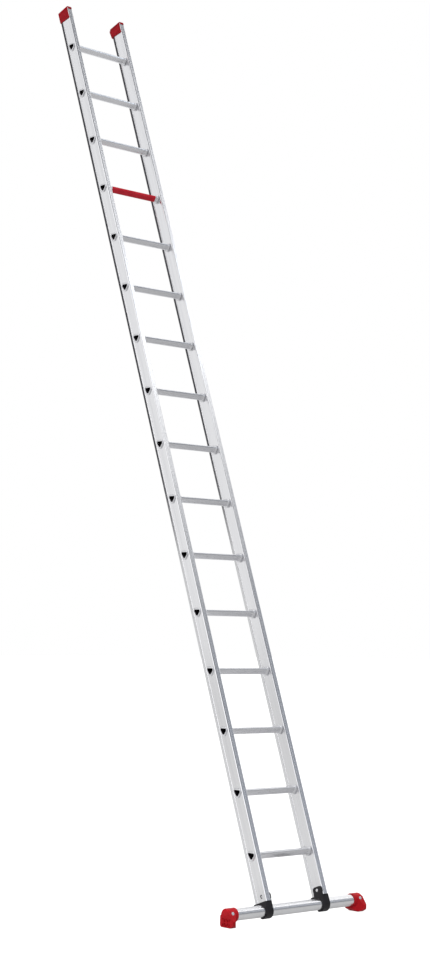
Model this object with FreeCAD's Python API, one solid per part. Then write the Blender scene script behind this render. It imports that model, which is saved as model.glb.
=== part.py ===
"""Leaning aluminium ladder with sixteen rungs, top caps and a stabiliser foot.

Units are millimetres. Row frame: +Z up, +X across the ladder, +Y towards the wall.
The origin is on the floor, midway between the feet and straight below the stabiliser tube.

Two frames are used. The ladder frame is the ladder standing upright: x across, y through the
depth of the stiles, z along them, with its origin at the middle of the lowest rung. leaned()
takes a shape from there to the row frame, and on_ladder() does the same for a point.
"""

import FreeCAD, Part
import math
import os

V = FreeCAD.Vector

# ---------------------------------------------------------------- driving dimensions

LEAN_BACK = 20.0            # degrees from vertical

# stiles: box profile with a raised bead along each edge
STILE_GAP = 282.0           # clear width between the stiles
STILE_T = 24.0              # thickness across the beads
STILE_WALL = 2.0
STILE_BELOW = 178.5         # lowest rung axis to the cut end
STILE_ABOVE = 204.0         # highest rung axis to the cut end
STILE_CORNER_R = 5.0
BEAD_FRONT_W = 7.5          # width of the front bead
BEAD_BACK_W = 17.0          # width of the back bead
BEAD_BACK_DRAFT = 2.9       # how far each side of the back bead is drawn in at the rear
BEAD_RAMP = 0.8             # run-out of a bead to the web
BEAD_EASE_R = 0.5
WEB_SINK = 1.2              # how far the web lies below the beads
WEB_BEHIND = 7.0            # web left between the rung flange and the back bead
GROOVE_W = 1.2              # marking grooves along the web
GROOVE_DEPTH = 0.5
GROOVE_AT = (2.4, 5.4)      # distance of each groove in front of the back bead
RIB_GROOVES = 4             # grooves along each narrow face
RIB_PITCH = 3.0
RIB_W = 1.2
RIB_DEPTH = 0.4

# rungs
RUNG_COUNT = 16
RUNG_PITCH = 250.0
RUNG_TREAD = 31.0           # depth of the flat tread
RUNG_H = 25.0
RUNG_SHOULDER = 9.0         # height of the upright sides under the tread
RUNG_KEEL = 9.0             # width left at the bottom before rounding
RUNG_WALL = 1.8
RUNG_TREAD_R = 3.5
RUNG_SHOULDER_R = 6.0
RUNG_KEEL_R = 4.0
TREAD_GROOVES = 5
TREAD_GROOVE_PITCH = 4.6
TREAD_GROOVE_W = 1.6
TREAD_GROOVE_DEPTH = 0.6
RUNG_FIT = 0.05             # clearance of the rung in its stile holes
FLANGE_OUT = 5.0            # how far the outer flange stands out round the rung
FLANGE_T = 5.0
FLANGE_TOP_R = 11.5
FLANGE_SHOULDER_R = 6.0
FLANGE_KEEL_R = 8.0
FLANGE_CLEAR = 0.2          # flange and collar to the front bead
MOUTH_FLARE = 2.4           # widening of the open mouth at the outer flange
COLLAR_OUT = 5.0            # how far the inner collar stands out round the rung
COLLAR_T = 6.0              # full-size part of the collar, against the stile
COLLAR_TAPER = 12.0         # run-out of the collar to the rung

# top caps
CAP_WALL = 1.6              # cheek thickness outside the stile's beads
CAP_TOP_FRONT = 2.5         # plate over the end of the stile, at its front
CAP_TOP_BACK = 7.0          # the same plate at its back
CAP_CHEEK_BACK = 46.0       # depth of the outer cheek below the stile's end at the back
CAP_CHEEK_FRONT = 58.0      # depth of the outer cheek below the stile's end at the front
CAP_INNER_SHORT = 6.0       # how much shorter the inner cheek is
CAP_BARE_FRONT = 2.0        # strip of stile left bare in front of the cheeks
CAP_SCOOP = 3.0             # hollow of the cheeks' front edge
CAP_SCOOP_R = 60.0
CAP_LIP_T = 1.5             # lip of the plate over the stile's front face
CAP_LIP_H = 9.0
CAP_BACK_T = 1.0            # wall over the stile's back face
CAP_BUMPER_OUT = 9.0        # bumper behind the stile's back face, on the inner half only
CAP_BUMPER_H = 44.0         # height over which the bumper runs out
CAP_PLUG_LEN = 60.0
CAP_PLUG_FIT = 0.15
CAP_PANEL_INSET = 5.0       # border round the sunk panel of each cheek
CAP_PANEL_SINK = 1.0
CAP_LUG_W = 6.0             # two lugs that stand in each panel
CAP_LUG_H = 9.0
CAP_LUG_PITCH = 13.0
CAP_LUG_DOWN = 36.0         # end of the stile to the middle of the lugs
CAP_LUG_AHEAD = 10.0        # middle of the panel to the middle between the lugs
CAP_R = 3.0
CAP_FRONT_R = 8.0           # front corners, seen along the stile
CAP_BACK_R = 4.0            # back corners

# stabiliser tube
TUBE_D = 46.0
TUBE_WALL = 2.0
TUBE_LEN = 708.0
TUBE_DROP = 9.5             # end of the stile to the top of the tube
TUBE_BEHIND = 4.0           # tube axis behind the rung axis, square to the stiles

# saddle brackets
BRACKET_SIDE = 4.5          # how far the bracket stands out beyond the stile's faces
BRACKET_FIT = 0.15          # clearance on the tube and in the stile
HOOK_T = 7.0                # thickness of the hook round the tube
HOOK_END = 305.0            # degrees, where the hook ends (0 is straight back)
SADDLE_BACK_LIP = 6.0       # height of the saddle's edge at the back
SADDLE_SLOPE_DROP = 11.0    # further drop of the saddle's sloping back
EAR_TOP = 34.0              # end of the stile to the top of the ear
EAR_W = 50.0
EAR_R = 12.0
EAR_FOOT_BACK = 26.0        # bolt to the back of the ear's foot on the saddle
EAR_FOOT_H = 6.0
PLUG_LEN = 46.0
BOLT_UP = 20.5              # bolt axis above the end of the stile
BOLT_AHEAD = 4.0            # bolt axis in front of the rung axis
BOLT_D = 6.0
BOLT_CLEAR = 0.3
BOLT_HEAD_D = 12.0
BOLT_HEAD_H = 3.6
BOLT_DRIVE_AF = 4.0         # hexagon socket
BOLT_DRIVE_DEPTH = 2.0
NUT_AF = 10.0
NUT_H = 5.0
NUT_POCKET_D = 15.0         # pocket for the nut, and the hole in the stile over it
WASHER_D = 12.0
WASHER_T = 1.2
BOLT_PAST_NUT = 1.5

# feet
FOOT_OUT = 6.0              # closed end beyond the tube's end
FOOT_GRIP = 40.0            # length of tube inside each foot
FOOT_WALL = 4.0             # wall round the tube
FOOT_FIT = 0.15
FOOT_RIM_R = 7.0            # rounding round the closed end
FOOT_END_R = 3.0            # upright corners of the closed end under the tube
SOLE_UNDER = 21.0           # underside of the tube to the floor
FOOT_TOE_OUT = 19.0         # how far the toe stands out past the round part, at the closed end
FOOT_TOE_W = 14.0           # width of the toe there, before its front runs back to the tongue
FOOT_TOE_LEAVE = 138.0      # degrees round the tube, where the toe's slope leaves the round part
FOOT_TOE_UP = 27.0          # floor to the upper edge of the toe's blunt front
FOOT_TOE_LOW = 10.0         # floor to its lower edge
FOOT_TOE_BLUNT = 3.0        # how far the lower edge is drawn in from the upper one
FOOT_TOE_R = 4.0
FOOT_SOLE_FRONT = 20.0      # how far the sole's front edge is drawn in from the toe
FOOT_SOLE_BACK = 8.0        # how far its back edge is drawn in from the heel
FOOT_SOLE_R = 3.0
FOOT_HEEL_OUT = 3.0         # heel beyond the round part
FOOT_HEEL_UP = 10.0
FOOT_TONGUE = 4.0           # how far the tongue under the tube reaches inwards
FOOT_TONGUE_FRONT = 6.0     # tube axis to the tongue's front corner
FOOT_TONGUE_CUT = 20.0      # how far the tongue is drawn in at the floor
FOOT_TONGUE_UP = 14.0       # floor to the tongue's tip
FOOT_TONGUE_TOP = 4.0       # tube axis down to where the tongue's edge leaves the round part
FOOT_RIB_PITCH = 7.0        # grooves across the sole
FOOT_RIB_W = 2.6
FOOT_RIB_DEPTH = 1.6
FOOT_RIBS = 5
END_POCKET_DEPTH = 3.0      # three-cornered pockets between the ribs of the closed end
END_POCKET_STEP = 9.0
END_POCKET_H = 13.0
END_RIB = 3.0
END_POCKET_LOW = 5.0        # floor to the lowest pockets
END_POCKETS = 5
END_ROWS = 2
END_POCKET_AHEAD = 7.0      # middle of each row in front of the tube axis
RIVET_D = 5.0
RIVET_HEAD_D = 13.0
RIVET_HEAD_H = 2.2
RIVET_ANGLE = 160.0         # degrees round the tube, 180 is straight forward
RIVET_FROM_EDGE = 29.0      # inner edge of the foot to the rivet
RIVET_CLEAR = 0.1
RIVET_GRIP = 3.0            # rivet length inside the tube

# ---------------------------------------------------------------- derived values

COS = math.cos(math.radians(LEAN_BACK))
SIN = math.sin(math.radians(LEAN_BACK))
GAP_HALF = STILE_GAP / 2
WIDTH_HALF = GAP_HALF + STILE_T
WEB_IN = GAP_HALF + WEB_SINK
WEB_OUT = WIDTH_HALF - WEB_SINK
STILE_MID = GAP_HALF + STILE_T / 2
STILE_END = -STILE_BELOW
STILE_TOP = (RUNG_COUNT - 1) * RUNG_PITCH + STILE_ABOVE
TUBE_R = TUBE_D / 2
SOLE_BELOW = TUBE_R + SOLE_UNDER
FOOT_R = TUBE_R + FOOT_WALL
FOOT_TOE = -(FOOT_R + FOOT_TOE_OUT)
FOOT_HEEL = FOOT_R + FOOT_HEEL_OUT
TUBE_Z = STILE_END - TUBE_DROP - TUBE_R
BOLT_Z = STILE_END + BOLT_UP
BOLT_Y = -BOLT_AHEAD
FOOT_END = TUBE_LEN / 2 + FOOT_OUT
FOOT_EDGE = TUBE_LEN / 2 - FOOT_GRIP

SHIFT_Y = -(TUBE_BEHIND * COS + TUBE_Z * SIN)
SHIFT_Z = SOLE_BELOW - (-TUBE_BEHIND * SIN + TUBE_Z * COS)


# ---------------------------------------------------------------- helpers

def on_ladder(x, y, z):
    """A point of the ladder frame, in the row frame."""
    return V(x, y * COS + z * SIN + SHIFT_Y, -y * SIN + z * COS + SHIFT_Z)


def leaned(shape):
    """A shape of the ladder frame, moved to the row frame."""
    out = shape.copy()
    out.rotate(V(0, 0, 0), V(1, 0, 0), -LEAN_BACK)
    out.translate(V(0, SHIFT_Y, SHIFT_Z))
    return out


def mirrored(shape):
    """The shape for the other side of the ladder."""
    return shape.mirror(V(0, 0, 0), V(1, 0, 0))


def half_angle(points, i):
    """Half the angle between the two sides that meet at a corner."""
    u, v, _ = points[i]
    pu, pv, _ = points[i - 1]
    qu, qv, _ = points[(i + 1) % len(points)]
    turn = math.atan2(pv - v, pu - u) - math.atan2(qv - v, qu - u)
    turn = abs(math.remainder(turn, 2 * math.pi))
    return turn / 2


def fitted_radii(points):
    """The corner radii, each limited where two of them would meet on a short side."""
    n = len(points)
    radii = [p[2] for p in points]
    for i in range(n):
        j = (i + 1) % n
        side = math.hypot(points[j][0] - points[i][0], points[j][1] - points[i][1])
        used = sum(radii[k] / math.tan(half_angle(points, k)) for k in (i, j))
        if used > 0.98 * side:
            radii[i] *= 0.98 * side / used
            radii[j] *= 0.98 * side / used
    return radii


def outline(points, place):
    """A closed wire through (u, v, radius) corners, each rounded by its radius."""
    arcs = []
    n = len(points)
    radii = fitted_radii(points)
    for i in range(n):
        pu, pv, _ = points[i - 1]
        u, v, _ = points[i]
        r = radii[i]
        qu, qv, _ = points[(i + 1) % n]
        a = math.hypot(pu - u, pv - v)
        b = math.hypot(qu - u, qv - v)
        au, av = (pu - u) / a, (pv - v) / a
        bu, bv = (qu - u) / b, (qv - v) / b
        half = math.acos(max(-1.0, min(1.0, au * bu + av * bv))) / 2
        if r <= 0 or half > math.pi / 2 - 1e-6:
            arcs.append(((u, v), None, (u, v)))
            continue
        cut = r / math.tan(half)
        far = r / math.sin(half) - r
        mu, mv = au + bu, av + bv
        m = math.hypot(mu, mv)
        start = (u + au * cut, v + av * cut)
        end = (u + bu * cut, v + bv * cut)
        mid = (u + mu / m * far, v + mv / m * far)
        arcs.append((start, mid, end))
    edges = []
    for i in range(n):
        start, mid, end = arcs[i]
        nxt = arcs[(i + 1) % n][0]
        if mid:
            edges.append(Part.Arc(place(*start), place(*mid), place(*end)).toShape())
        if math.hypot(nxt[0] - end[0], nxt[1] - end[1]) > 1e-6:
            edges.append(Part.makeLine(place(*end), place(*nxt)))
    return Part.Wire(edges)


def prism(points, place, along):
    """The rounded outline, filled and drawn out along a vector."""
    return Part.Face(outline(points, place)).extrude(along)


def across(x):
    """Places (y, z) corners on the plane at x."""
    return lambda u, v: V(x, u, v)


def block(x0, x1, y0, y1, z0, z1):
    return Part.makeBox(x1 - x0, y1 - y0, z1 - z0, V(x0, y0, z0))


def rod(x0, x1, y, z, r):
    """A cylinder along X."""
    return Part.makeCylinder(r, x1 - x0, V(x0, y, z), V(1, 0, 0))


def hexagon(x0, x1, y, z, af):
    """A hexagonal bar along X, with its width across flats."""
    r = af / math.sqrt(3)
    pts = [(y + r * math.cos(math.radians(60 * i)), z + r * math.sin(math.radians(60 * i)), 0)
           for i in range(6)]
    return prism(pts, across(x0), V(x1 - x0, 0, 0))


def save(name, shape):
    shape = shape.removeSplitter()
    if not shape.isValid():
        raise RuntimeError(name + " is not valid")
    shape.exportStep("parts/" + name + ".step")
    box = shape.BoundBox
    print("%-22s solids %d  volume %.1f cm3  z %.1f to %.1f"
          % (name, len(shape.Solids), shape.Volume / 1000, box.ZMin, box.ZMax))


# ---------------------------------------------------------------- sections

def rung_corners(grow):
    """Corners of the rung's section round its axis, grown by grow; the tread is level."""
    t = RUNG_TREAD / 2 + grow
    top = RUNG_H / 2 + grow
    keel = RUNG_KEEL / 2 + grow * 0.5
    side = RUNG_H / 2 - RUNG_SHOULDER
    low = -RUNG_H / 2 - grow
    tr = max(RUNG_TREAD_R + grow, 0.8)
    sr = max(RUNG_SHOULDER_R + grow, 0.8)
    kr = max(RUNG_KEEL_R + grow, 0.8)
    return [(-t, top, tr), (t, top, tr), (t, side, sr),
            (keel, low, kr), (-keel, low, kr), (-t, side, sr)]


def flange_corners(grow):
    """Corners of a flange or collar round the rung, with its own softer corners."""
    radii = (FLANGE_TOP_R, FLANGE_TOP_R, FLANGE_SHOULDER_R,
             FLANGE_KEEL_R, FLANGE_KEEL_R, FLANGE_SHOULDER_R)
    return [(u, v, r) for (u, v, _), r in zip(rung_corners(grow), radii)]


def bar(corners, x0, x1):
    return prism(corners, across(x0), V(x1 - x0, 0, 0))


def flange_reach():
    """How far the flanges reach to the front and to the back, square to the stiles."""
    face = Part.Face(outline(flange_corners(max(FLANGE_OUT, COLLAR_OUT)), across(0)))
    face.rotate(V(0, 0, 0), V(1, 0, 0), LEAN_BACK)
    box = face.optimalBoundingBox()
    return -box.YMin, box.YMax


REACH_FRONT, REACH_BACK = flange_reach()
STILE_FRONT = REACH_FRONT + FLANGE_CLEAR + BEAD_RAMP + BEAD_FRONT_W
STILE_BACK = REACH_BACK + WEB_BEHIND + BEAD_RAMP + BEAD_BACK_W


def stile_section(inset, z):
    """Corners of the right stile's profile, moved in by inset; grooves only on the outside."""
    xi, xo = GAP_HALF + inset, WIDTH_HALF - inset
    yf, yb = -STILE_FRONT + inset, STILE_BACK - inset
    f0 = -STILE_FRONT + BEAD_FRONT_W
    f1 = f0 + BEAD_RAMP
    b0 = STILE_BACK - BEAD_BACK_W
    b1 = b0 - BEAD_RAMP
    wi, wo = xi + WEB_SINK, xo - WEB_SINK
    ri, ro = xi + BEAD_BACK_DRAFT, xo - BEAD_BACK_DRAFT
    corner = max(STILE_CORNER_R - inset, 1.0)
    ease = BEAD_EASE_R
    pts = [(xi, yf, corner), (xo, yf, corner), (xo, f0, ease), (wo, f1, ease),
           (wo, b1, ease), (xo, b0, ease), (ro, yb, corner), (ri, yb, corner),
           (xi, b0, ease), (wi, b1, ease), (wi, f1, ease), (xi, f0, ease)]
    return prism(pts, lambda u, v: V(u, v, z), V(0, 0, STILE_TOP - STILE_END))


# ---------------------------------------------------------------- stiles

def make_stile():
    """The right stile, in the ladder frame, without its holes."""
    body = stile_section(0.0, STILE_END).cut(stile_section(STILE_WALL, STILE_END))
    length = STILE_TOP - STILE_END
    cuts = []
    for ahead in GROOVE_AT:
        y = STILE_BACK - BEAD_BACK_W - ahead
        for x in (WEB_IN - 1.0, WEB_OUT - GROOVE_DEPTH):
            deep = 1.0 + GROOVE_DEPTH
            cuts.append(Part.makeBox(deep, GROOVE_W, length, V(x, y - GROOVE_W / 2, STILE_END)))
    for i in range(RIB_GROOVES):
        x = STILE_MID + (i - (RIB_GROOVES - 1) / 2) * RIB_PITCH - RIB_W / 2
        for y in (-STILE_FRONT - 1.0, STILE_BACK - RIB_DEPTH):
            cuts.append(Part.makeBox(RIB_W, 1.0 + RIB_DEPTH, length, V(x, y, STILE_END)))
    return body.cut(cuts)


# ---------------------------------------------------------------- rungs

def make_rung():
    """One rung in the row frame, with its axis on the X axis."""
    reach = WEB_OUT + FLANGE_T
    plain = WEB_IN - COLLAR_T - COLLAR_TAPER
    body = bar(rung_corners(0.0), -reach, reach)
    grooves = []
    for i in range(TREAD_GROOVES):
        y = (i - (TREAD_GROOVES - 1) / 2) * TREAD_GROOVE_PITCH - TREAD_GROOVE_W / 2
        z = RUNG_H / 2 - TREAD_GROOVE_DEPTH
        grooves.append(block(-plain, plain, y, y + TREAD_GROOVE_W, z, z + 2))
    body = body.cut(grooves)
    flange = bar(flange_corners(FLANGE_OUT), WEB_OUT, reach)
    collar = bar(flange_corners(COLLAR_OUT), WEB_IN - COLLAR_T, WEB_IN)
    big = outline(flange_corners(COLLAR_OUT), across(WEB_IN - COLLAR_T))
    small = outline(rung_corners(0.01), across(plain))
    taper = Part.makeLoft([small, big], True, True)
    ends = [flange, collar, taper]
    body = body.fuse(ends + [mirrored(piece) for piece in ends])
    bore = bar(rung_corners(-RUNG_WALL), -reach - 1, reach + 1)
    wide = outline(rung_corners(MOUTH_FLARE - RUNG_WALL), across(reach))
    narrow = outline(rung_corners(-RUNG_WALL), across(reach - FLANGE_T))
    mouth = Part.makeLoft([narrow, wide], True, True)
    return body.cut([bore, mouth, mirrored(mouth)])


# ---------------------------------------------------------------- top caps

def make_cap():
    """The right top cap, in the ladder frame."""
    xi, xo = GAP_HALF - CAP_WALL, WIDTH_HALF + CAP_WALL
    wide = V(xo - xi, 0, 0)
    front = -STILE_FRONT + CAP_BARE_FRONT
    back = STILE_BACK + CAP_BACK_T
    low_b = STILE_TOP - CAP_CHEEK_BACK
    low_f = STILE_TOP - CAP_CHEEK_FRONT
    scoop = front + CAP_SCOOP
    cheeks = prism([(front, STILE_TOP, 0), (back, STILE_TOP, 0), (back, low_b, CAP_R),
                    (front, low_f, CAP_R), (scoop, (STILE_TOP + low_f) / 2, CAP_SCOOP_R)],
                   across(xi), wide)
    lip = -STILE_FRONT - CAP_LIP_T
    lip_low = STILE_TOP - CAP_LIP_H
    plate = prism([(lip, lip_low, CAP_LIP_T / 2), (lip, STILE_TOP + CAP_TOP_FRONT, CAP_R),
                   (back, STILE_TOP + CAP_TOP_BACK, CAP_R), (back, STILE_TOP, 0),
                   (-STILE_FRONT, STILE_TOP, 0), (-STILE_FRONT, lip_low, 0)], across(xi), wide)
    run_out = STILE_TOP - CAP_BUMPER_H
    bumper = prism([(STILE_BACK - CAP_R, STILE_TOP, 0), (STILE_BACK + CAP_BUMPER_OUT, STILE_TOP, CAP_R),
                    (back, run_out, 0), (STILE_BACK - CAP_R, run_out, 0)],
                   across(xi), V(STILE_MID - xi, 0, 0))
    rear = STILE_BACK + CAP_BUMPER_OUT
    plan = prism([(xi, lip, CAP_FRONT_R), (xo, lip, CAP_FRONT_R),
                  (xo, rear, CAP_BACK_R), (xi, rear, CAP_BACK_R)],
                 lambda u, v: V(u, v, low_f), V(0, 0, 2 * CAP_CHEEK_FRONT))
    outer = prism([(xi, lip, 0), (xo, lip, 0), (xo, back, CAP_BACK_R), (xi, back, 0)],
                  lambda u, v: V(u, v, low_f), V(0, 0, 2 * CAP_CHEEK_FRONT))
    inner = block(xi, STILE_MID, lip, rear, low_f, low_f + 2 * CAP_CHEEK_FRONT)
    short = block(xi - 1, STILE_MID, -2 * STILE_FRONT, 2 * STILE_BACK, low_f - 1, STILE_TOP)
    rise = V(0, 0, CAP_INNER_SHORT)
    raised = cheeks.copy()
    raised.translate(rise)
    cheeks = cheeks.cut(short.cut(raised))
    body = cheeks.fuse([plate, bumper]).common(plan).common(outer.fuse(inner))
    inset = CAP_PANEL_INSET
    lug_y = (scoop + back) / 2 - CAP_LUG_AHEAD
    lug_z = STILE_TOP - CAP_LUG_DOWN
    for x in (xi, xo - CAP_PANEL_SINK):
        panel = prism([(scoop + inset, STILE_TOP - inset, CAP_R), (back - inset, STILE_TOP - inset, CAP_R),
                       (back - inset, low_b + inset, CAP_R), (scoop + inset, low_f + inset, CAP_R)],
                      across(x), V(CAP_PANEL_SINK, 0, 0))
        if x == xi:
            panel.translate(rise)
        for side in (-1, 1):
            y = lug_y + side * CAP_LUG_PITCH / 2
            panel = panel.cut(block(xi, xo, y - CAP_LUG_W / 2, y + CAP_LUG_W / 2,
                                    lug_z - CAP_LUG_H / 2, lug_z + CAP_LUG_H / 2))
        body = body.cut(panel)
    body = body.cut(stile_core(STILE_TOP - 2 * CAP_CHEEK_FRONT, STILE_TOP))
    return body.fuse(end_plug(STILE_TOP - CAP_PLUG_LEN, STILE_TOP, CAP_PLUG_FIT))


def stile_core(z0, z1):
    """The space the right stile takes, filled, between two heights."""
    return stile_section(0.0, STILE_END).common(block(0, 2 * WIDTH_HALF, -200, 200, z0, z1))


def end_plug(z0, z1, fit):
    """A block that fills the right stile's hollow between two heights, less its fit."""
    hollow = stile_section(STILE_WALL + fit, STILE_END)
    return hollow.common(block(0, 2 * WIDTH_HALF, -200, 200, z0, z1))


# ---------------------------------------------------------------- saddle brackets

def make_bracket():
    """The right saddle bracket, in the ladder frame."""
    xi, xo = GAP_HALF - BRACKET_SIDE, WIDTH_HALF + BRACKET_SIDE
    wide = V(xo - xi, 0, 0)
    hook_r = TUBE_R + HOOK_T
    ring = rod(xi, xo, TUBE_BEHIND, TUBE_Z, hook_r)
    reach = 3 * hook_r
    a0, a1 = math.radians(HOOK_END), math.radians(360 + 45)
    away = [(TUBE_BEHIND, TUBE_Z, 0)]
    for a in (a0, (a0 + a1) / 2, a1):
        away.append((TUBE_BEHIND + reach * math.cos(a), TUBE_Z + reach * math.sin(a), 0))
    ring = ring.cut(prism(away, across(xi - 1), V(xo - xi + 2, 0, 0)))
    saddle = prism([(TUBE_BEHIND - hook_r, STILE_END, 0), (STILE_BACK, STILE_END, 0),
                    (STILE_BACK, STILE_END - SADDLE_BACK_LIP, 1.5),
                    (TUBE_BEHIND + TUBE_R, STILE_END - SADDLE_BACK_LIP - SADDLE_SLOPE_DROP, 1.5),
                    (TUBE_BEHIND, TUBE_Z, 0), (TUBE_BEHIND - hook_r, TUBE_Z, 0)],
                   across(xi), wide)
    ear_f, ear_b = BOLT_Y - EAR_W / 2, BOLT_Y + EAR_W / 2
    foot_f, foot_b = TUBE_BEHIND - hook_r, BOLT_Y + EAR_FOOT_BACK
    ear = prism([(foot_f, STILE_END, 0), (foot_b, STILE_END, 0),
                 (foot_b, STILE_END + EAR_FOOT_H, 3), (ear_b, STILE_END + 2 * EAR_FOOT_H, 6),
                 (ear_b, STILE_END + EAR_TOP, EAR_R), (ear_f, STILE_END + EAR_TOP, EAR_R),
                 (ear_f, STILE_END + 2 * EAR_FOOT_H, 3), (foot_f, STILE_END + EAR_FOOT_H, 1)],
                across(xi), V(WEB_IN - xi, 0, 0))
    stile = stile_core(STILE_END, STILE_END + 2 * EAR_TOP)
    ear = ear.cut(stile)
    plug = end_plug(STILE_END, STILE_END + PLUG_LEN, BRACKET_FIT)
    body = ring.fuse([saddle, ear, plug])
    body = body.cut(rod(xi - 1, xo + 1, TUBE_BEHIND, TUBE_Z, TUBE_R + BRACKET_FIT))
    hollow = WEB_OUT - STILE_WALL
    pocket = rod(hollow - NUT_H - WASHER_T - BOLT_PAST_NUT, xo, BOLT_Y, BOLT_Z, NUT_POCKET_D / 2)
    bore = rod(xi - 1, xo, BOLT_Y, BOLT_Z, BOLT_D / 2 + BOLT_CLEAR)
    return body.cut([pocket, bore])


def bolt_seat():
    """Where the washer bears on the bracket's plug."""
    return WEB_OUT - STILE_WALL - NUT_H - WASHER_T - BOLT_PAST_NUT


def make_bolt():
    face = GAP_HALF - BRACKET_SIDE
    end = bolt_seat() + WASHER_T + NUT_H + BOLT_PAST_NUT
    head = rod(face - BOLT_HEAD_H, face, BOLT_Y, BOLT_Z, BOLT_HEAD_D / 2)
    rim = [e for e in head.Edges if abs(e.BoundBox.XMax - (face - BOLT_HEAD_H)) < 1e-6]
    head = head.makeFillet(BOLT_HEAD_H * 0.45, rim)
    shank = rod(face, end, BOLT_Y, BOLT_Z, BOLT_D / 2)
    drive = hexagon(face - BOLT_HEAD_H - 1, face - BOLT_HEAD_H + BOLT_DRIVE_DEPTH,
                    BOLT_Y, BOLT_Z, BOLT_DRIVE_AF)
    return head.fuse(shank).cut(drive)


def make_washer():
    x = bolt_seat()
    ring = rod(x, x + WASHER_T, BOLT_Y, BOLT_Z, WASHER_D / 2)
    return ring.cut(rod(x - 1, x + WASHER_T + 1, BOLT_Y, BOLT_Z, BOLT_D / 2 + BOLT_CLEAR))


def make_nut():
    x = bolt_seat() + WASHER_T
    nut = hexagon(x, x + NUT_H, BOLT_Y, BOLT_Z, NUT_AF)
    return nut.cut(rod(x - 1, x + NUT_H + 1, BOLT_Y, BOLT_Z, BOLT_D / 2))


# ---------------------------------------------------------------- feet

def end_pockets():
    """The pockets of the right foot's closed end: rows of triangles, point up and point down."""
    pockets = []
    half = END_POCKET_STEP - END_RIB
    for row in range(END_ROWS):
        low = END_POCKET_LOW + row * (END_POCKET_H + END_RIB)
        for i in range(END_POCKETS):
            y = (i - (END_POCKETS - 1) / 2) * END_POCKET_STEP - END_POCKET_AHEAD
            base, tip = low, low + END_POCKET_H
            if (i + row) % 2:
                base, tip = tip, base
            pockets.append(prism([(y - half, base, 1), (y + half, base, 1), (y, tip, 1)],
                                 across(FOOT_END - END_POCKET_DEPTH), V(END_POCKET_DEPTH + 1, 0, 0)))
    return pockets


def foot_base():
    """The right foot under the tube: its side, plan and front outlines, drawn out and shared."""
    axis = SOLE_BELOW
    top = axis + FOOT_R
    tip = FOOT_EDGE - FOOT_TONGUE
    span = 2 * FOOT_R + FOOT_TOE_OUT
    leave = math.radians(FOOT_TOE_LEAVE)
    side = prism([(FOOT_R * math.cos(leave), axis + FOOT_R * math.sin(leave), 0),
                  (FOOT_TOE, FOOT_TOE_UP, FOOT_TOE_R),
                  (FOOT_TOE + FOOT_TOE_BLUNT, FOOT_TOE_LOW, FOOT_TOE_R),
                  (FOOT_TOE + FOOT_SOLE_FRONT, 0, FOOT_SOLE_R),
                  (FOOT_HEEL - FOOT_SOLE_BACK, 0, FOOT_SOLE_R),
                  (FOOT_HEEL, FOOT_HEEL_UP, FOOT_TOE_R), (FOOT_R, axis, 0)],
                 across(tip), V(FOOT_END - tip, 0, 0))
    plan = prism([(tip, -FOOT_TONGUE_FRONT, 5), (FOOT_END - FOOT_TOE_W, FOOT_TOE, 8),
                  (FOOT_END, FOOT_TOE, FOOT_END_R), (FOOT_END, FOOT_HEEL, FOOT_END_R),
                  (tip, FOOT_HEEL, 5)],
                 lambda u, v: V(u, v, 0), V(0, 0, top))
    front = prism([(tip + FOOT_TONGUE_CUT, 0, 2), (tip, FOOT_TONGUE_UP, 4), (tip, SOLE_UNDER, 2),
                   (FOOT_EDGE, axis - FOOT_TONGUE_TOP, 0), (FOOT_EDGE, top, 0), (FOOT_END, top, 0),
                   (FOOT_END, 0, FOOT_END_R)],
                  lambda u, v: V(u, -span, v), V(0, 2 * span, 0))
    return side.common(plan).common(front)


def make_foot():
    """The right foot, in the row frame."""
    axis = SOLE_BELOW
    round_part = rod(FOOT_EDGE, FOOT_END, 0, axis, FOOT_R)
    rim = [e for e in round_part.Edges if e.BoundBox.XMin > FOOT_END - 0.01]
    body = round_part.makeFillet(FOOT_RIM_R, rim).fuse(foot_base())
    socket = rod(FOOT_EDGE - FOOT_TONGUE - 1, TUBE_LEN / 2 + FOOT_FIT, 0, axis, TUBE_R + FOOT_FIT)
    cuts = [socket] + end_pockets()
    middle = (FOOT_TOE + FOOT_SOLE_FRONT + FOOT_HEEL - FOOT_SOLE_BACK) / 2
    for i in range(FOOT_RIBS):
        y = middle + (i - (FOOT_RIBS - 1) / 2) * FOOT_RIB_PITCH
        cuts.append(block(FOOT_EDGE - FOOT_TONGUE - 1, FOOT_END + 1,
                          y - FOOT_RIB_W / 2, y + FOOT_RIB_W / 2, -1, FOOT_RIB_DEPTH))
    return body.cut(cuts + [rivet_shape(RIVET_CLEAR)])


def rivet_shape(clear):
    """The right foot's rivet, or with a clearance the hole for its shank."""
    a = math.radians(RIVET_ANGLE)
    out = V(0, math.cos(a), math.sin(a))
    x = FOOT_EDGE + RIVET_FROM_EDGE
    seat = V(x, 0, SOLE_BELOW) + out * FOOT_R
    inner = V(x, 0, SOLE_BELOW) + out * (TUBE_R - TUBE_WALL - RIVET_GRIP)
    shank_len = FOOT_WALL + TUBE_WALL + RIVET_GRIP
    shank = Part.makeCylinder(RIVET_D / 2 + clear, shank_len, inner, out)
    if clear:
        return shank.fuse(Part.makeCylinder(RIVET_HEAD_D / 2 + clear, 10, seat - out * 0.6, out))
    head = Part.makeCylinder(RIVET_HEAD_D / 2, RIVET_HEAD_H, seat - out * 0.6, out)
    top = seat + out * (RIVET_HEAD_H - 0.6)
    rim = [e for e in head.Edges
           if abs((e.BoundBox.Center - top).Length) < 0.01]
    return head.makeFillet(RIVET_HEAD_H * 0.4, rim).fuse(shank)


# ---------------------------------------------------------------- build

os.makedirs("parts", exist_ok=True)

rung = make_rung()
rung_hole = bar(rung_corners(RUNG_FIT), -2 * WIDTH_HALF, 2 * WIDTH_HALF)
centres = [on_ladder(0, 0, i * RUNG_PITCH) for i in range(RUNG_COUNT)]

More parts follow.
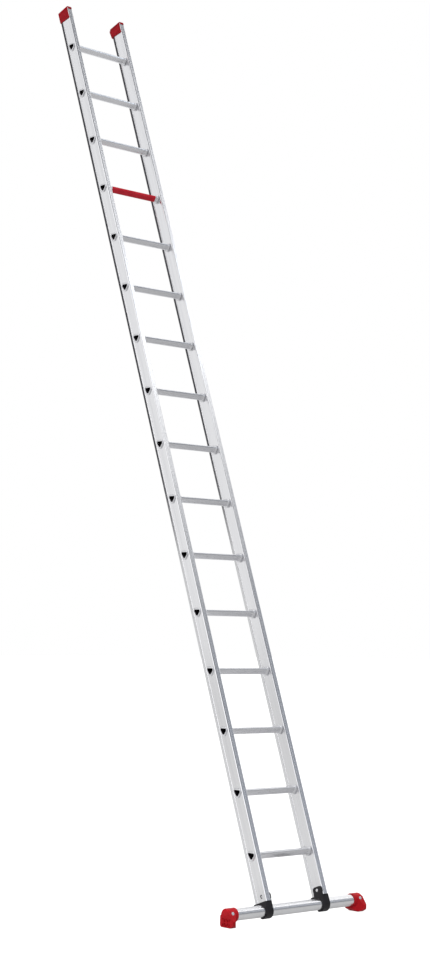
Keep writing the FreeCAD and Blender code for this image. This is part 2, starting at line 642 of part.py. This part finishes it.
stile = make_stile()
access = rod(STILE_MID, WIDTH_HALF + 1, BOLT_Y, BOLT_Z, NUT_POCKET_D / 2)
bolt_hole = rod(GAP_HALF - 1, STILE_MID, BOLT_Y, BOLT_Z, BOLT_D / 2 + BOLT_CLEAR)
stile = leaned(stile.cut([access, bolt_hole]))
holes = []
for c in centres:
    hole = rung_hole.copy()
    hole.translate(c)
    holes.append(hole)
stile = stile.cut(holes)
save("stile_right", stile)
save("stile_left", mirrored(stile))

for i, c in enumerate(centres):
    one = rung.copy()
    one.translate(c)
    save("rung_%02d" % (i + 1), one)

tube = rod(-TUBE_LEN / 2, TUBE_LEN / 2, 0, SOLE_BELOW, TUBE_R)
tube = tube.cut(rod(-TUBE_LEN / 2 - 1, TUBE_LEN / 2 + 1, 0, SOLE_BELOW, TUBE_R - TUBE_WALL))
rivet_hole = rivet_shape(RIVET_CLEAR)
tube = tube.cut([rivet_hole, mirrored(rivet_hole)])
save("stabiliser_tube", tube)

pieces = {
    "top_cap": leaned(make_cap()),
    "saddle_bracket": leaned(make_bracket()),
    "bracket_bolt": leaned(make_bolt()),
    "bracket_washer": leaned(make_washer()),
    "bracket_nut": leaned(make_nut()),
    "foot": make_foot(),
    "foot_rivet": rivet_shape(0.0),
}
for name, piece in pieces.items():
    save(name + "_right", piece)
    save(name + "_left", mirrored(piece))
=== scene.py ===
import bmesh
import bpy
import math
from mathutils import Matrix, Vector


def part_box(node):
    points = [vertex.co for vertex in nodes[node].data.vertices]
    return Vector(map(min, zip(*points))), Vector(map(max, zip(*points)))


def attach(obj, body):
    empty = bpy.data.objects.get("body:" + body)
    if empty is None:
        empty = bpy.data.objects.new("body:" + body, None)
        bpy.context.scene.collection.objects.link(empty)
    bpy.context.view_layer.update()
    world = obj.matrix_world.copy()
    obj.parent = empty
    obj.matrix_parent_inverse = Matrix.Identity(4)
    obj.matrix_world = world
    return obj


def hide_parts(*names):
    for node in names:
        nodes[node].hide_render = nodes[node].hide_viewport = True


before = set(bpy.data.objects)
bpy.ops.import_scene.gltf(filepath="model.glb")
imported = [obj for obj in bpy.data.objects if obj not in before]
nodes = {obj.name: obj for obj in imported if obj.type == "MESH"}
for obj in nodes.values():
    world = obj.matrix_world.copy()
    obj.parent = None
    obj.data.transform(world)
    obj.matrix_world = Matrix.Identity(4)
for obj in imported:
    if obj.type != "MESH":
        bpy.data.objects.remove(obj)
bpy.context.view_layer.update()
scene = bpy.context.scene
LEAN = math.radians(20)


# ------------------------------------------------------------------ node helpers

class Net:
    """A small helper round one material's node tree."""

    def __init__(self, name):
        self.mat = bpy.data.materials.new(name)
        self.mat.use_nodes = True
        self.tree = self.mat.node_tree
        self.bsdf = self.tree.nodes["Principled BSDF"]

    def add(self, kind, **props):
        node = self.tree.nodes.new(kind)
        for key, value in props.items():
            setattr(node, key, value)
        return node

    def link(self, a, b):
        self.tree.links.new(a, b)

    def coords(self):
        """Object coordinates, in metres."""
        return self.add("ShaderNodeTexCoord").outputs["Object"]

    def turned(self, turn, scale):
        """Object coordinates turned first, then stretched."""
        rot = self.add("ShaderNodeVectorRotate", rotation_type="EULER_XYZ")
        rot.inputs["Rotation"].default_value = turn
        mp = self.add("ShaderNodeMapping")
        mp.inputs["Scale"].default_value = scale
        self.link(self.coords(), rot.inputs["Vector"])
        self.link(rot.outputs["Vector"], mp.inputs["Vector"])
        return mp.outputs["Vector"]

    def noise(self, vector, scale=1.0, detail=3.0, rough=0.5):
        n = self.add("ShaderNodeTexNoise")
        n.inputs["Scale"].default_value = scale
        n.inputs["Detail"].default_value = detail
        n.inputs["Roughness"].default_value = rough
        self.link(vector, n.inputs["Vector"])
        return n.outputs["Fac"]

    def ramp(self, fac, stops):
        r = self.add("ShaderNodeValToRGB")
        e = r.color_ramp.elements
        while len(e) < len(stops):
            e.new(0.5)
        for i, (pos, col) in enumerate(stops):
            e[i].position = pos
            e[i].color = (*col, 1.0)
        self.link(fac, r.inputs["Fac"])
        return r.outputs["Color"]

    def span(self, fac, low, high, a=0.0, b=1.0):
        m = self.add("ShaderNodeMapRange")
        m.inputs["From Min"].default_value = a
        m.inputs["From Max"].default_value = b
        m.inputs["To Min"].default_value = low
        m.inputs["To Max"].default_value = high
        self.link(fac, m.inputs["Value"])
        return m.outputs["Result"]

    def mix(self, fac, a, b):
        m = self.add("ShaderNodeMix", data_type="RGBA")
        self.link(fac, m.inputs["Factor"])
        for sock, v in ((m.inputs[6], a), (m.inputs[7], b)):
            if isinstance(v, tuple):
                sock.default_value = (*v, 1.0)
            else:
                self.link(v, sock)
        return m.outputs[2]

    def bump(self, height, strength, distance):
        b = self.add("ShaderNodeBump")
        b.inputs["Strength"].default_value = strength
        b.inputs["Distance"].default_value = distance
        self.link(height, b.inputs["Height"])
        self.link(b.outputs["Normal"], self.bsdf.inputs["Normal"])


def extruded_metal(name, dark, light, rough, turn, stretch, grain=0.25):
    """Mill-finish aluminium with fine drawn lines along one direction."""
    n = Net(name)
    fine = n.noise(n.turned(turn, stretch), 1.0, 4.0, 0.6)
    slow = n.noise(n.turned(turn, tuple(s * 0.12 for s in stretch)), 1.0, 2.0)
    n.link(n.mix(n.span(slow, 0.0, 1.0, 0.3, 0.7),
                 n.ramp(fine, [(0.3, dark), (0.7, light)]), light), n.bsdf.inputs["Base Color"])
    n.link(n.span(fine, rough[1], rough[0], 0.3, 0.7), n.bsdf.inputs["Roughness"])
    n.bsdf.inputs["Metallic"].default_value = 1.0
    n.bump(fine, grain, 0.0002)
    return n.mat


def moulded(name, dark, light, rough, gloss=0.5, grain=0.3):
    """Moulded plastic with a fine spark-eroded grain."""
    n = Net(name)
    cell = n.noise(n.coords(), 900.0, 2.0, 0.6)
    slow = n.noise(n.coords(), 35.0, 2.0)
    n.link(n.ramp(slow, [(0.35, dark), (0.65, light)]), n.bsdf.inputs["Base Color"])
    n.link(n.span(cell, rough[0], rough[1], 0.3, 0.7), n.bsdf.inputs["Roughness"])
    n.bsdf.inputs["Specular IOR Level"].default_value = gloss
    n.bump(cell, grain, 0.0001)
    return n.mat


UPRIGHT = (LEAN, 0, 0)
stile_mat = extruded_metal("stile aluminium", (0.74, 0.74, 0.76), (0.86, 0.86, 0.87),
                           (0.10, 0.15), UPRIGHT, (900, 900, 6))
rung_mat = extruded_metal("rung aluminium", (0.70, 0.70, 0.72), (0.82, 0.82, 0.84),
                          (0.24, 0.34), (0, 0, 0), (10, 900, 900))
tube_mat = extruded_metal("tube aluminium", (0.78, 0.78, 0.80), (0.88, 0.88, 0.89),
                          (0.18, 0.26), (0, 0, 0), (8, 700, 700), 0.15)
red_rung_mat = moulded("red powder coat", (0.44, 0.014, 0.026), (0.50, 0.020, 0.034), (0.35, 0.5), 0.12)
cap_mat = moulded("cap red plastic", (0.225, 0.001, 0.005), (0.285, 0.002, 0.008), (0.34, 0.46), 0.12)
foot_mat = moulded("foot red plastic", (0.40, 0.005, 0.010), (0.49, 0.008, 0.015), (0.40, 0.55), 0.12)
black_mat = moulded("black plastic", (0.006, 0.005, 0.007), (0.011, 0.010, 0.013), (0.38, 0.52), 0.32)
bore_mat = moulded("dark bore", (0.006, 0.005, 0.007), (0.012, 0.011, 0.014), (0.6, 0.8), 0.1)
zinc_mat = extruded_metal("bright zinc", (0.80, 0.80, 0.82), (0.92, 0.92, 0.93),
                          (0.18, 0.30), (0, 0, 0), (400, 400, 400), 0.1)

look = {
    "stile": stile_mat, "rung": rung_mat, "stabiliser_tube": tube_mat, "top_cap": cap_mat,
    "foot_rivet": zinc_mat, "foot": foot_mat, "saddle_bracket": black_mat,
    "bracket_bolt": zinc_mat, "bracket_washer": zinc_mat, "bracket_nut": zinc_mat,
}


def dress(obj, mat):
    if not obj.material_slots:
        obj.data.materials.append(mat)
    for s in obj.material_slots:
        s.material = mat


for name, obj in nodes.items():
    key = max((k for k in look if name.startswith(k)), key=len)
    dress(obj, look[key])


# ------------------------------------------------------------------ mesh helpers

def piece(name, bm, mats, node, sharp=35):
    """A finished mesh piece that stands for one CAD node."""
    bmesh.ops.recalc_face_normals(bm, faces=bm.faces)
    mesh = bpy.data.meshes.new(name)
    bm.to_mesh(mesh)
    bm.free()
    for mat in mats:
        mesh.materials.append(mat)
    mesh.shade_smooth()
    mesh.set_sharp_from_angle(angle=math.radians(sharp))
    obj = bpy.data.objects.new(name, mesh)
    scene.collection.objects.link(obj)
    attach(obj, "root")
    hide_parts(node)
    return obj


def softened(node, mat, width, limit=32):
    """The node's shape with its edges rounded, as a moulding or forging has them."""
    bm = bmesh.new()
    bm.from_mesh(nodes[node].data)
    bmesh.ops.remove_doubles(bm, verts=bm.verts, dist=1e-5)
    bmesh.ops.dissolve_limit(bm, angle_limit=math.radians(1.0), verts=bm.verts, edges=bm.edges)
    obj = piece(node + "_body", bm, [mat], node, limit)
    mod = obj.modifiers.new("soft edges", "BEVEL")
    mod.width = width
    mod.segments = 3
    mod.limit_method = "ANGLE"
    mod.angle_limit = math.radians(limit)
    mod.harden_normals = True


def extrusion(node, mat):
    """The node's shape, shaded so that its broad faces stay flat up to their narrow roundings."""
    bm = bmesh.new()
    bm.from_mesh(nodes[node].data)
    bmesh.ops.remove_doubles(bm, verts=bm.verts, dist=1e-5)
    bmesh.ops.dissolve_limit(bm, angle_limit=math.radians(0.5), verts=bm.verts, edges=bm.edges)
    obj = piece(node + "_body", bm, [mat], node, 50)
    mod = obj.modifiers.new("flat faces", "WEIGHTED_NORMAL")
    mod.mode = "FACE_AREA"
    mod.weight = 100
    mod.keep_sharp = True


def rings_to_mesh(rings, part_of):
    """Quads between rings of points, the last ring joined to the first.

    part_of(i) gives the material number of the band that follows ring i.
    """
    bm = bmesh.new()
    verts = [[bm.verts.new(p) for p in ring] for ring in rings]
    n = len(rings)
    for i in range(n):
        a, b = verts[i], verts[(i + 1) % n]
        for j in range(len(a)):
            k = (j + 1) % len(a)
            face = bm.faces.new((a[j], a[k], b[k], b[j]))
            face.material_index = part_of(i)
    return bm


# ------------------------------------------------------------------ rungs

MM = 0.001
TREAD_HALF = 15.5 * MM
RUNG_HALF = 12.5 * MM          # half the rung's height
SHOULDER_AT = 3.5 * MM         # the sloping sides start here, above the axis
KEEL_HALF = 4.5 * MM
RUNG_RADII = (3.5, 3.5, 6.0, 4.0, 4.0, 6.0)        # plain section, mm
FLANGE_RADII = (11.5, 11.5, 6.0, 8.0, 8.0, 6.0)    # at the full flange, mm
FLANGE_OUT = 5.0 * MM
MOUTH_WIDE = 1.3 * MM          # the open mouth is this much wider to each side
FLANGE_TALL = 1.3              # the collars swell more above and below than to the front and back
GROOVE_PITCH = 4.6 * MM
GROOVE_HALF = 0.8 * MM
GROOVE_DEEP = 0.6 * MM
GROOVE_EASE = 0.25 * MM
GROOVE_NUMBER = 5
COLLAR_LENGTH = 18.0 * MM
COLLAR_RISE = 1.9 * MM         # how far the collar has grown where its bead begins
BEAD_HALF = 5.2 * MM           # half the length of the collar's round bead
BEAD_FOOT = 1.3 * MM
BEAD_HEIGHT = 3.7 * MM
WEB_SINK = 1.2 * MM            # the web lies this far inside the beads
MOUTH_BELOW = 2.5 * MM         # the flange is part of the open mouth where it is lower than this
RED_FROM_TOP = 3               # rungs above the red one
ARC_STEPS = 7


def rung_ring(x, grow, grooved, wide=0.0):
    """Points round the rung's section at x, grown by grow and widened by wide, grooved or plain on top."""
    t, top = TREAD_HALF + grow + wide, RUNG_HALF + grow * (FLANGE_TALL if grow > 0 else 1.0)
    keel = KEEL_HALF + grow * 0.5
    share = max(0.0, min(1.0, grow / FLANGE_OUT))
    radii = [(a + (b - a) * share) * MM + min(grow, 0.0) for a, b in zip(RUNG_RADII, FLANGE_RADII)]
    corners = [(-t, top), (t, top), (t, SHOULDER_AT), (keel, -top), (-keel, -top), (-t, SHOULDER_AT)]
    points = []
    for i, (u, v) in enumerate(corners):
        here = Vector((u, v))
        before = (Vector(corners[i - 1]) - here).normalized()
        after = (Vector(corners[(i + 1) % 6]) - here).normalized()
        half = before.angle(after) / 2
        r = max(radii[i], 0.8 * MM)
        cut = r / math.tan(half)
        centre = here + (before + after).normalized() * (r / math.sin(half))
        start = here + before * cut - centre
        end = here + after * cut - centre
        for k in range(ARC_STEPS):
            f = k / (ARC_STEPS - 1)
            points.append(centre + (start * (1 - f) + end * f).normalized() * r)
        if i == 0:
            deep = GROOVE_DEEP if grooved else 0.0
            for g in range(GROOVE_NUMBER):
                mid = (g - (GROOVE_NUMBER - 1) / 2) * GROOVE_PITCH
                for du, down in ((-GROOVE_HALF - GROOVE_EASE, 0), (-GROOVE_HALF, 1),
                                 (GROOVE_HALF, 1), (GROOVE_HALF + GROOVE_EASE, 0)):
                    points.append(Vector((mid + du, top - deep * down)))
    return [(x, p.x, p.y) for p in points]


def rung_stations(web_in, web_out, reach):
    """Stations of the right half, (x, grow, grooved, part): part 0 bright ends, 1 bar, 2 bore."""
    collar_at = web_in - COLLAR_LENGTH
    out = [(0.0, 0.0, True, 1), (collar_at - 0.5 * MM, 0.0, True, 1), (collar_at, 0.0, False, 1)]
    flare = COLLAR_LENGTH - 2 * BEAD_HALF
    for k in range(1, 6):
        f = k / 5
        out.append((collar_at + flare * f, COLLAR_RISE * f * f, False, 0))
    for k in range(0, 9):
        a = math.pi * (0.04 + 0.84 * k / 8)
        x = web_in - BEAD_HALF - BEAD_HALF * math.cos(a)
        out.append((min(x, web_in), BEAD_FOOT + BEAD_HEIGHT * math.sin(a), False, 0))
    out.append((web_in, 0.0, False, 0))
    out.append((web_out, 0.0, False, 0))
    depth = reach - web_out
    for dx, grow in ((0.0, 4.3), (0.12, 5.0), (0.62, 5.0), (0.85, 4.6), (0.97, 3.8), (1.0, 3.0),
                     (1.0, 1.0), (0.97, 0.2), (0.90, -0.5)):
        out.append((web_out + depth * dx, grow * MM, False, 0))
    for dx, grow in ((0.8, -1.0), (0.4, -1.5), (-0.4, -1.8), (-2.0, -1.8)):
        out.append((web_out + depth * dx, grow * MM, False, 2))
    return out


def build_rungs():
    """Every rung from one set of rings, red or plain, moved to its node's place."""
    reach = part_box("rung_01")[1][0]
    stile_low, stile_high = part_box("stile_right")
    face = stile_high[0] - WEB_SINK
    half = rung_stations(stile_low[0] + WEB_SINK, face, reach)
    mirror = [(-x, grow, grooved, part) for x, grow, grooved, part in reversed(half[1:])]
    full = half + mirror
    rings = []
    for x, grow, grooved, _ in full:
        mouth = abs(x) > face and grow < MOUTH_BELOW
        rings.append(rung_ring(x, grow, grooved, MOUTH_WIDE if mouth else 0.0))
    parts = []
    for i in range(len(full)):
        a, b = full[i][3], full[(i + 1) % len(full)][3]
        parts.append(2 if 2 in (a, b) else (1 if a == b == 1 else 0))
    count = sum(name.startswith("rung_") for name in nodes)
    for number in range(1, count + 1):
        node = "rung_%02d" % number
        red = number == count - RED_FROM_TOP
        low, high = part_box(node)
        bm = rings_to_mesh(rings, lambda i: parts[i])
        bar_mat = red_rung_mat if red else rung_mat
        at = Vector((0, (low[1] + high[1]) / 2, (low[2] + high[2]) / 2))
        bmesh.ops.translate(bm, verts=bm.verts, vec=at)
        piece(node + "_bar", bm, [rung_mat, bar_mat, bore_mat], node)


build_rungs()


# ------------------------------------------------------------------ tube and mouldings

def build_tube():
    """The round tube, with its wall and slightly broken end edges."""
    low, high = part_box("stabiliser_tube")
    r = (high[2] - low[2]) / 2
    axis = (low[2] + high[2]) / 2
    wall, ease, steps = 2.0 * MM, 0.4 * MM, 96
    end = high[0]
    outline = [(-end, r - ease), (-end + ease, r), (end - ease, r), (end, r - ease),
               (end, r - wall), (-end, r - wall)]
    rings = []
    for x, rad in outline:
        ring = []
        for k in range(steps):
            a = 2 * math.pi * k / steps
            ring.append((x, rad * math.cos(a), axis + rad * math.sin(a)))
        rings.append(ring)
    bm = rings_to_mesh(rings, lambda i: 0)
    piece("stabiliser_tube_body", bm, [tube_mat], "stabiliser_tube")


build_tube()
for side in ("left", "right"):
    extrusion("stile_" + side, stile_mat)
    softened("top_cap_" + side, cap_mat, 0.8 * MM)
    softened("foot_" + side, foot_mat, 0.8 * MM)
    softened("saddle_bracket_" + side, black_mat, 0.8 * MM)
    softened("bracket_bolt_" + side, zinc_mat, 0.3 * MM)
    softened("foot_rivet_" + side, zinc_mat, 0.3 * MM)


# ------------------------------------------------------------------ camera

SENSOR = 36.0       # mm


def place_camera(at, right, view, lens):
    """A camera at a point, looking along view with right pointing to the picture's right."""
    cam = bpy.data.objects.new("camera", bpy.data.cameras.new("camera"))
    scene.collection.objects.link(cam)
    v = Vector(view).normalized()
    r = Vector(right)
    r = (r - v * r.dot(v)).normalized()
    u = r.cross(v)
    m = Matrix((r, u, -v)).transposed().to_4x4()
    m.translation = Vector(at)
    cam.matrix_world = m
    cam.data.sensor_width = SENSOR
    cam.data.sensor_height = SENSOR
    cam.data.sensor_fit = "AUTO"
    cam.data.lens = lens
    cam.data.clip_end = 100.0
    scene.camera = cam


place_camera((-4.877, -5.0339, 1.0955), (0.7495, -0.6619, 0.0148), (0.6584, 0.7474, 0.0889), 66.8588)


# ------------------------------------------------------------------ floor and light

FLOOR_HALF = 60.0
floor_mesh = bpy.data.meshes.new("floor")
corners = [(x * FLOOR_HALF, y * FLOOR_HALF, 0) for x, y in ((-1, -1), (1, -1), (1, 1), (-1, 1))]
floor_mesh.from_pydata(corners, [], [(0, 1, 2, 3)])
floor = bpy.data.objects.new("floor", floor_mesh)
scene.collection.objects.link(floor)
fn = Net("floor")
fn.bsdf.inputs["Base Color"].default_value = (0.30, 0.30, 0.30, 1)
fn.bsdf.inputs["Roughness"].default_value = 0.9
fn.bsdf.inputs["Specular IOR Level"].default_value = 0.0
fn.bsdf.inputs["Emission Color"].default_value = (1, 1, 1, 1)
place = fn.add("ShaderNodeSeparateXYZ")
fn.link(fn.coords(), place.inputs["Vector"])
glow = fn.add("ShaderNodeMath", operation="ADD")
fn.link(fn.span(place.outputs["Y"], 0.15, 0.45, -0.6, 0.8), glow.inputs[0])
fn.link(fn.span(place.outputs["X"], 0.0, 0.22, 2.9, 3.7), glow.inputs[1])
lift = fn.add("ShaderNodeMath", operation="MAXIMUM")
fn.link(glow.outputs["Value"], lift.inputs[0])
seen = fn.add("ShaderNodeLightPath")
fn.link(fn.span(seen.outputs["Is Camera Ray"], 0.0, 0.95), lift.inputs[1])
fn.link(lift.outputs["Value"], fn.bsdf.inputs["Emission Strength"])
dress(floor, fn.mat)


def studio():
    """A pale studio: bright behind and overhead, dimmer and bluish in front, one dark card behind."""
    world = bpy.data.worlds.new("studio")
    scene.world = world
    world.use_nodes = True
    tree = world.node_tree

    def add(kind, **props):
        node = tree.nodes.new(kind)
        for key, value in props.items():
            setattr(node, key, value)
        return node

    def ramp(fac, stops):
        node = add("ShaderNodeValToRGB")
        el = node.color_ramp.elements
        while len(el) < len(stops):
            el.new(0.5)
        for i, (pos, v, tint) in enumerate(stops):
            el[i].position = pos
            el[i].color = (v * (1 - tint), v * (1 - tint * 0.68), v, 1)
        tree.links.new(fac, node.inputs["Fac"])
        return node.outputs["Color"]

    def span(value, a, b):
        node = add("ShaderNodeMapRange", interpolation_type="SMOOTHSTEP")
        node.inputs["From Min"].default_value = a
        node.inputs["From Max"].default_value = b
        tree.links.new(value, node.inputs["Value"])
        return node.outputs["Result"]

    def times(a, b):
        node = add("ShaderNodeMath", operation="MULTIPLY")
        tree.links.new(a, node.inputs[0])
        tree.links.new(b, node.inputs[1])
        return node.outputs["Value"]

    def mix(fac, a, b):
        node = add("ShaderNodeMix", data_type="RGBA")
        tree.links.new(fac, node.inputs["Factor"])
        for sock, v in ((node.inputs[6], a), (node.inputs[7], b)):
            if isinstance(v, tuple):
                sock.default_value = v
            else:
                tree.links.new(v, sock)
        return node.outputs[2]

    coord = add("ShaderNodeTexCoord")
    axes = add("ShaderNodeSeparateXYZ")
    tree.links.new(coord.outputs["Generated"], axes.inputs["Vector"])
    x, y, z = axes.outputs
    front = ramp(z, [(0.0, 0.34, 0.08), (0.20, 0.30, 0.10), (0.31, 0.34, 0.16), (0.355, 1.20, 0.10),
                     (0.39, 0.40, 0.20), (0.42, 0.34, 0.20), (0.50, 0.40, 0.15), (0.545, 0.30, 0.10),
                     (0.575, 0.95, 0.03), (0.60, 1.05, 0.02), (0.64, 1.05, 0.0), (0.665, 2.40, 0.0),
                     (0.688, 1.90, 0.05), (0.702, 0.60, 0.25), (0.73, 0.10, 0.30), (0.79, 0.08, 0.30),
                     (0.86, 0.8, 0.0), (1.0, 1.4, 0.0)])
    corner = ramp(z, [(0.0, 0.5, 0.1), (0.35, 1.40, 0.08), (0.40, 0.30, 0.20), (0.44, 0.14, 0.20),
                      (0.50, 0.16, 0.10), (0.55, 0.12, 0.08), (0.59, 0.20, 0.05), (0.62, 0.50, 0.03),
                      (0.65, 1.50, 0.0), (0.68, 1.50, 0.0), (0.70, 0.50, 0.08), (0.73, 0.15, 0.15),
                      (0.79, 0.12, 0.2), (0.88, 0.8, 0.0), (1.0, 1.4, 0.0)])
    front = mix(span(x, -0.25, 0.25), corner, front)
    back = ramp(z, [(0.0, 0.90, 0.01), (0.3, 0.90, 0.02), (0.6, 0.95, 0.02), (0.85, 1.1, 0.0),
                    (1.0, 1.4, 0.0)])
    right = ramp(z, [(0.0, 1.10, 0.01), (0.4, 1.05, 0.01), (0.7, 1.05, 0.01), (1.0, 1.4, 0.0)])
    sky = mix(span(y, -0.30, -0.10), front, mix(span(x, 0.30, 0.60), back, right))
    card = times(times(times(span(x, -0.50, -0.47), span(x, 0.45, 0.38)), span(y, 0.45, 0.70)),
                 times(span(z, -0.02, 0.01), span(z, 0.62, 0.45)))
    sky = mix(card, sky, (0.06, 0.06, 0.066, 1))
    left_panel = times(span(x, -0.78, -0.90), times(span(y, 0.62, 0.40), span(y, -0.30, -0.05)))
    sky = mix(left_panel, sky, (1.5, 1.5, 1.52, 1))
    path = add("ShaderNodeLightPath")
    sky = mix(path.outputs["Is Camera Ray"], sky, (1, 1, 1, 1))
    tree.links.new(sky, tree.nodes["Background"].inputs["Color"])


studio()


def area(name, at, to, size, power, mirrored, colour=(1, 1, 1)):
    """A rectangular lamp; mirrored says whether the metal shows it."""
    data = bpy.data.lights.new(name, "AREA")
    data.shape = "RECTANGLE"
    data.size, data.size_y = size
    data.energy = power
    data.color = colour
    obj = bpy.data.objects.new(name, data)
    scene.collection.objects.link(obj)
    obj.location = at
    obj.rotation_euler = (Vector(to) - Vector(at)).to_track_quat("-Z", "Y").to_euler()
    obj.visible_glossy = mirrored


area("key", (-3.0, -2.5, 6.0), (0, 0.5, 1.8), (2.0, 2.0), 190, False)
area("upper panel", (2.1, -0.9, 4.75), (0, 1.3, 3.55), (0.9, 0.9), 3.0, True, (0.82, 0.92, 1.0))

scene.view_settings.view_transform = "Standard"
scene.view_settings.look = "None"
